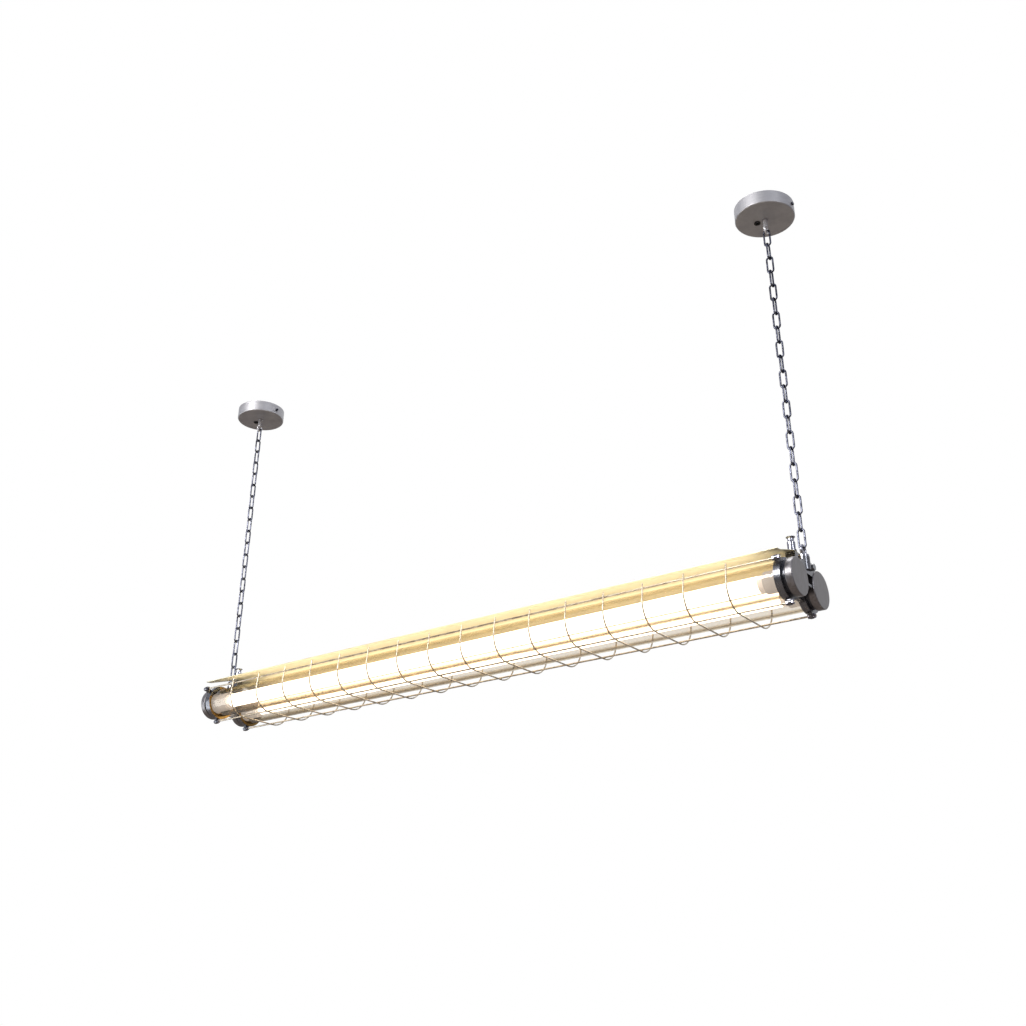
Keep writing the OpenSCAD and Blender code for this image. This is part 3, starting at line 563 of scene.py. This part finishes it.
class PENDANT_OT_chains(bpy.types.Operator):
    """Hangs the two chains of welded links, each group on the body that it swings with"""
    bl_idname = "pendant.chains"
    bl_label = "Chains"

    def execute(self, context):
        size = context.scene.pendant_sizes
        tree = link_tree()
        length = size.link_inner + size.link_wire
        span = LINKS_HIGH.z - LINKS_LOW.z
        pitch = (span - length - size.link_wire) / (size.links - 1)
        first_z = LINKS_HIGH.z - (length + size.link_wire) / 2
        last_z = first_z - size.links * pitch
        shared = {
            "Bend Radius": (size.link_inside + size.link_wire) / 2, "Length": length,
            "Wire Radius": size.link_wire / 2, "Finish": chain_steel(),
        }
        across = Vector((2 * EYE_X, 0, 0))
        down = Vector((0, 0, -pitch))
        rows = {
            "top": ("top_links", 2, Vector((-EYE_X, 0, first_z + pitch)), across, 0.0, "chain_top_links"),
            "bottom": ("bottom_links", 2, Vector((-EYE_X, 0, last_z)), across, 0.0, "chain_bottom_links"),
            "left": ("chain_left", size.links, Vector((-EYE_X, 0, first_z)), down, QUARTER, "chain_left"),
            "right": ("chain_right", size.links, Vector((EYE_X, 0, first_z)), down, QUARTER, "chain_right"),
        }
        for name, (body, count, first, step, turn, node) in rows.items():
            values = {"Count": count, "First": first, "Step": step, "Turn": turn, **shared}
            mesh = grown(tree, base_mesh("link_seed", [(0, 0, 0)]), values)
            show(f"links_{name}", mesh, chain_steel(), "chain_steel", body, node)
        return {"FINISHED"}


# Wire guard

# Steps of a hoop's round corner, of its leg and of its wire's section
ARC_STEPS = 24
LEG_STEPS = 6
WIRE_SIDES = 16
# Place of a weld drop between the middles of rod and hoop wire, and its radius over the wire's diameter
WELD_PLACE = 0.55
WELD_SHARE = 0.62
# Facets of a weld drop, few because there are 64
DROP_SIDES = 12
DROP_RINGS = 8


def hoop_path(size):
    """The hoop's centre line across the light, from one leg's end to the other."""
    radius = TUBE_Z - HOOP_LOW.z - size.wire / 2
    top = HOOP_HIGH.z - TUBE_Z - math.sin(size.lean) * size.wire / 2
    angles = [i * (QUARTER + size.lean) / ARC_STEPS - QUARTER for i in range(ARC_STEPS + 1)]
    arc = [(TUBE_Y + radius * math.cos(a), radius * math.sin(a)) for a in angles]
    foot_y, foot_z = arc[-1]
    heights = [foot_z + (top - foot_z) * k / LEG_STEPS for k in range(1, LEG_STEPS + 1)]
    leg = [(foot_y - (z - foot_z) * math.tan(size.lean), z) for z in heights]
    half = arc + leg
    path = [(-y, z) for y, z in reversed(half)] + half
    return [Vector((0, y, TUBE_Z + z)) for y, z in path]


def wire_tree():
    """A wire along a path, repeated along the light."""
    tree, inputs, output = new_tree("hoop_row", {**ROW, "Wire Radius": "Float"})
    line = add(tree, "GeometryNodeMeshToCurve", {0: inputs["Geometry"]}).outputs[0]
    section = add(tree, "GeometryNodeCurvePrimitiveCircle", {
        "Resolution": WIRE_SIDES, "Radius": inputs["Wire Radius"]}).outputs[0]
    wire = add(tree, "GeometryNodeCurveToMesh", {0: line, 1: section, "Fill Caps": True}).outputs[0]
    close_tree(tree, in_row(tree, inputs, wire), inputs["Finish"], output)
    return tree


def weld_tree():
    """Small weld drops at the given points, repeated along the light."""
    tree, inputs, output = new_tree("weld_row", {**ROW, "Radius": "Float"})
    drop = add(tree, "GeometryNodeMeshUVSphere", {
        "Segments": DROP_SIDES, "Rings": DROP_RINGS, "Radius": inputs["Radius"]}).outputs[0]
    points = add(tree, "GeometryNodeMeshToPoints", {0: inputs["Geometry"]}).outputs[0]
    drops = add(tree, "GeometryNodeInstanceOnPoints", {"Points": points, "Instance": drop}).outputs[0]
    close_tree(tree, in_row(tree, inputs, drops), inputs["Finish"], output)
    return tree


def crossings(size):
    """Where the four long rods touch a hoop, in the hoop's own plane."""
    low_z = ROD_LOW.z + size.rod / 2
    high_z = ROD_HIGH.z - size.rod / 2
    high_y = ROD_HIGH.y - size.rod / 2
    step = (size.rod + size.wire) / 2 * WELD_PLACE
    found = []
    for side in SIDES:
        found.append(Vector((0, side * TUBE_Y, low_z - step)))
        found.append(Vector((0, side * (high_y + step), high_z)))
    return found


class PENDANT_OT_guard(bpy.types.Operator):
    """Bends the guard's hoops and welds them to the long rods"""
    bl_idname = "pendant.guard"
    bl_label = "Wire guard"

    def execute(self, context):
        size = context.scene.pendant_sizes
        pitch = (HOOP_HIGH.x - HOOP_LOW.x - size.wire) / (size.hoops - 1)
        row = {
            "Count": size.hoops, "First": Vector((HOOP_LOW.x + size.wire / 2, 0, 0)),
            "Step": Vector((pitch, 0, 0)), "Finish": plated_wire(),
        }
        path = path_mesh("hoop_path", hoop_path(size))
        hoops = grown(wire_tree(), path, {"Wire Radius": size.wire / 2, **row})
        show("wire_hoops", hoops, plated_wire(), "polished_steel", "fixture", "guard_hoops")
        points = base_mesh("weld_points", crossings(size))
        drops = grown(weld_tree(), points, {"Radius": size.wire * WELD_SHARE, **row})
        show("weld_drops", drops, plated_wire(), "polished_steel", "fixture")
        return {"FINISHED"}


# Reflector

# Height of the crease at the lip above the lip's edge
LIP_RISE = 1 * MM
# Steps along the sheet and round each fold
SHEET_STEPS = 40
FOLD_STEPS = 5
# Width of the sheet's rounded edges, and the angle from which an edge is rounded
SHEET_EDGE = 0.3 * MM
SHEET_EDGE_ANGLE = math.radians(50)


def rounded(points, radius, steps):
    """A polyline whose inner corners are rounded by arcs."""
    result = [points[0]]
    for before, corner, after in zip(points, points[1:], points[2:]):
        into = (corner - before).normalized()
        out = (after - corner).normalized()
        turn = into.angle(out)
        side = 1 if into.cross(out) > 0 else -1
        back = radius * math.tan(turn / 2)
        start = corner - into * back
        end = corner + out * back
        centre = corner + (out - into).normalized() * (radius / math.cos(turn / 2))
        first = start - centre
        for k in range(steps):
            angle = side * turn * k / steps
            result.append(centre + Vector((first.x * math.cos(angle) - first.y * math.sin(angle),
                                           first.x * math.sin(angle) + first.y * math.cos(angle))))
        result.append(end)
    result.append(points[-1])
    return result


def underside(size):
    """The reflector's inner side, a sheet of faces that point down."""
    half = SHEET_HIGH.y
    crease = Vector((half - size.lip, SHEET_LOW.z + LIP_RISE))
    right = [Vector((size.ridge, SHEET_HIGH.z - size.sheet)), crease, Vector((half, SHEET_LOW.z))]
    line = [Vector((-p.x, p.y)) for p in reversed(right)] + right
    section = rounded(line, size.bend, FOLD_STEPS)
    length = SHEET_HIGH.x - SHEET_LOW.x
    stations = [SHEET_LOW.x + length * k / SHEET_STEPS for k in range(SHEET_STEPS + 1)]
    count = len(section)
    points = [(x, p.x, p.y) for x in stations for p in section]
    faces = [(i * count + k, i * count + k + 1, (i + 1) * count + k + 1, (i + 1) * count + k)
             for i in range(SHEET_STEPS) for k in range(count - 1)]
    mesh = bpy.data.meshes.new("folded_reflector")
    mesh.from_pydata(points, [], faces)
    work = bmesh.new()
    work.from_mesh(mesh)
    bmesh.ops.recalc_face_normals(work, faces=work.faces)
    if sum(face.normal.z for face in work.faces) > 0:
        bmesh.ops.reverse_faces(work, faces=work.faces)
    work.to_mesh(mesh)
    work.free()
    for face in mesh.polygons:
        face.use_smooth = True
    return mesh


class PENDANT_OT_reflector(bpy.types.Operator):
    """Folds the reflector from one sheet, with rounded bends"""
    bl_idname = "pendant.reflector"
    bl_label = "Reflector"

    def execute(self, context):
        size = context.scene.pendant_sizes
        mesh = underside(size)
        piece = show("folded_reflector", mesh, gold_sheet(), "reflector_sheet", "fixture", "reflector")
        mesh.materials.append(gold_outside_painted_shade())
        wall = piece.modifiers.new("thickness", "SOLIDIFY")
        wall.thickness = size.sheet
        wall.offset = -1
        # The outer side takes the second finish, a darker copy of the sheet with painted shade
        wall.material_offset = 1
        edge = piece.modifiers.new("edge", "BEVEL")
        edge.width = SHEET_EDGE
        edge.segments = 2
        edge.limit_method = "ANGLE"
        edge.angle_limit = SHEET_EDGE_ANGLE
        return {"FINISHED"}


# Threads on the necks

# Height of a guard nut, which stands on the flange's face, and radius of a neck
NUT_HEIGHT = 3.5 * MM
NECK_RADIUS = 27 * MM
# Radius of a turn's section, and how far the section's middle lies under the neck's face
THREAD_RADIUS = 0.5 * MM
THREAD_SINK = 0.1 * MM
# Steps round a neck and round a turn's section
NECK_STEPS = 64
THREAD_SIDES = 8


def thread_tree():
    """Rings of thread at the given points."""
    tree, inputs, output = new_tree("thread_row", {"Radius": "Float", "Depth": "Float"})
    circle = add(tree, "GeometryNodeCurvePrimitiveCircle", {
        "Resolution": NECK_STEPS, "Radius": inputs["Radius"]}).outputs[0]
    section = add(tree, "GeometryNodeCurvePrimitiveCircle", {
        "Resolution": THREAD_SIDES, "Radius": inputs["Depth"]}).outputs[0]
    ring = add(tree, "GeometryNodeCurveToMesh", {0: circle, 1: section}).outputs[0]
    upright = add(tree, "GeometryNodeTransform", {0: ring, "Rotation": (0, QUARTER, 0)}).outputs[0]
    points = add(tree, "GeometryNodeMeshToPoints", {0: inputs["Geometry"]}).outputs[0]
    turns = add(tree, "GeometryNodeInstanceOnPoints", {"Points": points, "Instance": upright}).outputs[0]
    close_tree(tree, turns, inputs["Finish"], output)
    return tree


class PENDANT_OT_threads(bpy.types.Operator):
    """Lays the visible turns of thread round the four necks"""
    bl_idname = "pendant.threads"
    bl_label = "Neck threads"

    def execute(self, context):
        size = context.scene.pendant_sizes
        flange_x = NUT_END - NUT_HEIGHT
        turns = int((CAP_START - flange_x) / size.thread)
        places = [Vector((end * (flange_x + (k + 0.5) * size.thread), row * TUBE_Y, TUBE_Z))
                  for end in SIDES for row in SIDES for k in range(turns)]
        mesh = grown(thread_tree(), base_mesh("thread_points", places), {
            "Radius": NECK_RADIUS - THREAD_SINK, "Depth": THREAD_RADIUS, "Finish": dark_steel()})
        show("neck_threads", mesh, dark_steel(), "dark_steel", "fixture")
        return {"FINISHED"}


# Finishes of the CAD nodes

class PENDANT_OT_finishes(bpy.types.Operator):
    """Gives every CAD node the finish of the real piece"""
    bl_idname = "pendant.finishes"
    bl_label = "Finishes"

    def execute(self, context):
        colours = context.scene.pendant_colours
        # The first start that fits a node's name gives its finish
        finishes = {
            "ceiling_plate": zinc_plate(),
            "stem_nuts": zinc_plate(),
            "stem_": turned_stem(),
            "canopy_screw": dark_steel(),
            "canopy_grommet": black_rubber(),
            "canopy_": satin_nickel(),
            "terminal_block": white_polyamide(),
            "chain_": chain_steel(),
            "eye_bolt": polished_steel(),
            "end_casting": cast_end(),
            "reflector": gold_sheet(),
            "glass_seals": black_rubber(),
            "glass_": tube_glass(),
            "lampholder": holder_plastic(),
            "lamp_tube": lit_tube(colours),
            "lamp_caps": lamp_sleeve(),
            "lamp_board": board_white(),
            "lamp_rotors": holder_plastic(),
            "cap_gasket": black_rubber(),
            "screw_cap": cap_metal(),
            "guard_nuts": bright_nuts(),
            "guard_": plated_wire(),
            "earth_bolts": zinc_plate(),
            "cable_gland": polished_steel(),
            "gland_nuts": polished_steel(),
            "gland_seals": black_rubber(),
            "leads_": lead_silicone(),
        }
        for name, node in NODES.items():
            finish = next((made for start, made in finishes.items() if name.startswith(start)), None)
            if finish is None:
                raise RuntimeError(f"no finish for {name}")
            node.data.materials.clear()
            node.data.materials.append(finish)
        return {"FINISHED"}


# Rounded copies of the solid pieces

# Width of the rounded edges in millimetres, by the start of a node's name
EDGES = {
    "end_casting": 0.5,
    "screw_cap": 0.45,
    "eye_bolt": 0.3,
    "cable_gland": 0.3,
    "gland_nuts": 0.2,
    "canopy_left": 0.25,
    "canopy_right": 0.25,
    "stem_left": 0.25,
    "stem_right": 0.25,
    "guard_nuts": 0.35,
    "lampholder": 0.4,
    "canopy_screw": 0.3,
    "earth_bolts": 0.35,
}
# Points closer than this are merged, and faces that meet at less than this angle become one
MERGE = 0.001 * MM
FLAT = math.radians(0.4)
# Edges sharper than this are rounded, and others shaded smooth
SHARP = math.radians(32)
# Radius of the bore behind a tube, where the casting takes a painted reflection of the lamps, and how far it
# reaches past the glass
SEAT_RADIUS = 26.8 * MM
SEAT_REACH = 1 * MM


def in_seat(place):
    """Whether a point lies in the bore behind a tube's end, where the casting takes a painted reflection of
    the lamps.
    """
    off_axis = math.hypot(abs(place.y) - TUBE_Y, place.z - TUBE_Z)
    return off_axis < SEAT_RADIUS and abs(place.x) < GLASS_END + SEAT_REACH


def rounded_copy(node, width):
    """A merged copy of a node's mesh with rounded edges, which stands for the node."""
    work = bmesh.new()
    work.from_mesh(NODES[node].data)
    bmesh.ops.remove_doubles(work, verts=work.verts, dist=MERGE)
    bmesh.ops.dissolve_limit(work, angle_limit=FLAT, verts=work.verts, edges=work.edges)
    mesh = bpy.data.meshes.new(f"rounded_{node}")
    work.to_mesh(mesh)
    work.free()
    for face in mesh.polygons:
        face.use_smooth = True
    mesh.set_sharp_from_angle(angle=SHARP)
    finish = NODES[node].data.materials[0]
    piece = show(f"rounded_{node}", mesh, finish, SLOTS[node], NODES[node]["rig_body"], node)
    # The bores behind the tubes take a second finish, a painted reflection of the lamps' light
    if node.startswith("end_casting"):
        mesh.materials.append(seat_painted_reflection())
        for face in mesh.polygons:
            face.material_index = int(in_seat(face.center))
    edge = piece.modifiers.new("edges", "BEVEL")
    edge.width = width * MM
    edge.segments = 2
    edge.limit_method = "ANGLE"
    edge.angle_limit = SHARP
    piece.modifiers.new("flat_faces", "WEIGHTED_NORMAL").keep_sharp = True


class PENDANT_OT_rounding(bpy.types.Operator):
    """Rounds the edges of the turned, cast and moulded pieces"""
    bl_idname = "pendant.rounding"
    bl_label = "Rounded edges"

    def execute(self, context):
        for node in list(NODES):
            width = next((wide for start, wide in EDGES.items() if node.startswith(start)), None)
            if width:
                rounded_copy(node, width)
        return {"FINISHED"}


# Stage

# The photograph's camera, worked out from the hoops, rods, rings and chains
LENS_PX = 1177.9
IMAGE_PX = 1026
SENSOR = 36
CENTRE_PX = (517.2, 450.4)
CAMERA_FROM_LAMPS = Vector((1292.5, -1628.8, -611.6)) * MM
CAMERA_AZIMUTH = math.radians(36.16)
CAMERA_PITCH = math.radians(26.31)
NEAR_LIMIT = 0.01
FAR_LIMIT = 50
# The way that the camera looks
AHEAD = (-math.sin(CAMERA_AZIMUTH) * math.cos(CAMERA_PITCH),
         math.cos(CAMERA_AZIMUTH) * math.cos(CAMERA_PITCH), math.sin(CAMERA_PITCH))
# Half the floor's width, its height, and how much of it a mirror shows white
FLOOR_HALF = 9.0
FLOOR_Z = -2.4
FLOOR_SHINE = 0.12
# A look through both tubes meets eight glass surfaces, and sixteen where the sheet mirrors it back
GLASS_BOUNCES = 24


def camera():
    """The photograph's camera, below the light and to its right, looking up along it."""
    data = bpy.data.cameras.new("photo_camera")
    data.sensor_width = SENSOR
    data.lens = LENS_PX / IMAGE_PX * SENSOR
    data.shift_x = (IMAGE_PX / 2 - CENTRE_PX[0]) / IMAGE_PX
    data.shift_y = (CENTRE_PX[1] - IMAGE_PX / 2) / IMAGE_PX
    data.clip_start = NEAR_LIMIT
    data.clip_end = FAR_LIMIT
    eye = bpy.data.objects.new("photo_camera", data)
    bpy.context.scene.collection.objects.link(eye)
    eye.location = CAMERA_FROM_LAMPS + Vector((0, 0, TUBE_Z))
    eye.rotation_euler = (QUARTER + CAMERA_PITCH, 0, CAMERA_AZIMUTH)
    bpy.context.scene.camera = eye


def soft_light(name, place, target_x, width, height, power, colour):
    """A rectangular studio light that faces the lamps at a place along them."""
    data = bpy.data.lights.new(name, "AREA")
    data.shape = "RECTANGLE"
    data.size = width
    data.size_y = height
    data.energy = power
    data.color = colour
    lamp = bpy.data.objects.new(name, data)
    bpy.context.scene.collection.objects.link(lamp)
    lamp.location = place
    lamp.rotation_mode = "QUATERNION"
    lamp.rotation_quaternion = (Vector((target_x, 0, TUBE_Z)) - Vector(place)).to_track_quat("-Z", "Y")
    lamp.visible_camera = False


def world(colours):
    """White to the camera. Mirrors and glass see it ahead of the camera, and a soft room elsewhere."""
    made = bpy.data.worlds.new("studio")
    bpy.context.scene.world = made
    made.use_nodes = True
    tree = made.node_tree
    tree.nodes.clear()
    output = add(tree, "ShaderNodeOutputWorld")
    way = add(tree, "ShaderNodeTexCoord").outputs["Generated"]
    across, _, height = add(tree, "ShaderNodeSeparateXYZ", {0: way}).outputs
    # The room is light above and dark below
    level = add(tree, "ShaderNodeMapRange", {
        "Value": height, "From Min": -0.3, "From Max": 0.6, "To Min": 0.06, "To Max": 0.7}).outputs[0]
    room = add(tree, "ShaderNodeBackground", {"Color": linear("#f4f5ff"), "Strength": level}).outputs[0]
    seen = add(tree, "ShaderNodeBackground", {"Color": list(colours.backdrop), "Strength": 1.0}).outputs[0]
    # The mirrored backdrop fades out to the sides, and sooner on the left
    facing = add(tree, "ShaderNodeVectorMath", {0: way, 1: AHEAD}, operation="DOT_PRODUCT").outputs["Value"]
    ahead = add(tree, "ShaderNodeMapRange", {
        "Value": facing, "From Min": 0.25, "From Max": 0.7}).outputs[0]
    inside = add(tree, "ShaderNodeMapRange", {
        "Value": across, "From Min": -0.72, "From Max": -0.56}).outputs[0]
    card = add(tree, "ShaderNodeMath", {0: ahead, 1: inside}, operation="MULTIPLY").outputs[0]
    path = add(tree, "ShaderNodeLightPath").outputs
    direct = path["Is Camera Ray"]
    mirror = add(tree, "ShaderNodeMath", {
        0: path["Is Glossy Ray"], 1: path["Is Transmission Ray"]}, operation="MAXIMUM").outputs[0]
    mirrored = add(tree, "ShaderNodeMath", {0: card, 1: mirror}, operation="MULTIPLY").outputs[0]
    share = add(tree, "ShaderNodeMath", {0: mirrored, 1: direct}, operation="MAXIMUM").outputs[0]
    mix = add(tree, "ShaderNodeMixShader", {0: share, 1: room, 2: seen})
    tree.links.new(mix.outputs[0], output.inputs[0])


def floor_finish(colours):
    # Pale matt floor: it keeps the light's shadow and passes into the backdrop's white further out
    made, tree, output, place = new_material("pale_floor")
    if tree is None:
        return made
    matt = add(tree, "ShaderNodeBsdfDiffuse", {"Color": linear("#8f8276")}).outputs[0]
    seen = add(tree, "ShaderNodeEmission", {"Color": list(colours.backdrop), "Strength": 1.0}).outputs[0]
    distance = add(tree, "ShaderNodeVectorMath", {0: place}, operation="LENGTH").outputs["Value"]
    fade = add(tree, "ShaderNodeMapRange", {
        "Value": distance, "From Min": 2.5, "From Max": 6.0, "To Min": 0.6}).outputs[0]
    path = add(tree, "ShaderNodeLightPath").outputs
    direct = add(tree, "ShaderNodeMath", {
        0: path["Is Camera Ray"], 1: path["Is Transmission Ray"]}, operation="MAXIMUM").outputs[0]
    mirrored = add(tree, "ShaderNodeMath", {
        0: path["Is Glossy Ray"], 1: FLOOR_SHINE}, operation="MULTIPLY").outputs[0]
    looked_at = add(tree, "ShaderNodeMath", {0: direct, 1: mirrored}, operation="MAXIMUM").outputs[0]
    share = add(tree, "ShaderNodeMath", {0: fade, 1: looked_at}, operation="MULTIPLY").outputs[0]
    mix = add(tree, "ShaderNodeMixShader", {0: share, 1: matt, 2: seen})
    tree.links.new(mix.outputs[0], output.inputs[0])
    return made


def floor(colours):
    """A wide pale floor far below the light."""
    corners = [(x * FLOOR_HALF, y * FLOOR_HALF, FLOOR_Z) for x, y in ((-1, -1), (1, -1), (1, 1), (-1, 1))]
    mesh = bpy.data.meshes.new("floor")
    mesh.from_pydata(corners, [], [(0, 1, 2, 3)])
    mesh.materials.append(floor_finish(colours))
    ground = bpy.data.objects.new("floor", mesh)
    bpy.context.scene.collection.objects.link(ground)


class PENDANT_OT_stage(bpy.types.Operator):
    """Sets the camera, the studio lights, the backdrop and the floor"""
    bl_idname = "pendant.stage"
    bl_label = "Stage"

    def execute(self, context):
        colours = context.scene.pendant_colours
        camera()
        world(colours)
        floor(colours)
        warm, cool, cold, white = (1, 0.98, 0.95), (0.95, 0.97, 1), (0.93, 0.97, 1), (1, 1, 1)
        soft_light("key", (-0.6, -3.2, 0.7), 0, width=1.6, height=1.2, power=110, colour=warm)
        soft_light("right_end", (3.2, -1.2, 0.3), 0.6, width=0.4, height=1.6, power=20, colour=cool)
        soft_light("left_end", (-3.2, -1.9, -1.2), -0.6, width=0.8, height=2.2, power=30, colour=cold)
        soft_light("top", (0, 0.6, 2.2), 0, width=2.4, height=1.2, power=50, colour=white)
        context.scene.view_settings.view_transform = "Standard"
        context.scene.cycles.transparent_max_bounces = GLASS_BOUNCES
        return {"FINISHED"}


# The operators in the order in which they run
STEPS = [
    PENDANT_OT_stage,
    PENDANT_OT_finishes,
    PENDANT_OT_rounding,
    PENDANT_OT_chains,
    PENDANT_OT_guard,
    PENDANT_OT_reflector,
    PENDANT_OT_threads,
]


class PENDANT_PT_panel(bpy.types.Panel):
    """Lists the light's sizes, colours and pieces"""
    bl_idname = "PENDANT_PT_panel"
    bl_label = "Twin tube pendant light"
    bl_space_type = "VIEW_3D"
    bl_region_type = "UI"
    bl_category = "Pendant"

    def draw(self, context):
        for group in (context.scene.pendant_sizes, context.scene.pendant_colours):
            column = self.layout.column()
            for label in group.__annotations__:
                column.prop(group, label)
        for step in STEPS:
            self.layout.operator(step.bl_idname)


CLASSES = [PendantSizes, PendantColours, *STEPS, PENDANT_PT_panel]


def register():
    for made in CLASSES:
        bpy.utils.register_class(made)
    bpy.types.Scene.pendant_sizes = PointerProperty(type=PendantSizes)
    bpy.types.Scene.pendant_colours = PointerProperty(type=PendantColours)


def unregister():
    del bpy.types.Scene.pendant_sizes
    del bpy.types.Scene.pendant_colours
    for made in reversed(CLASSES):
        bpy.utils.unregister_class(made)


def main():
    register()
    for step in STEPS:
        group, name = step.bl_idname.split(".")
        getattr(getattr(bpy.ops, group), name)()


if __name__ == "__main__":
    main()
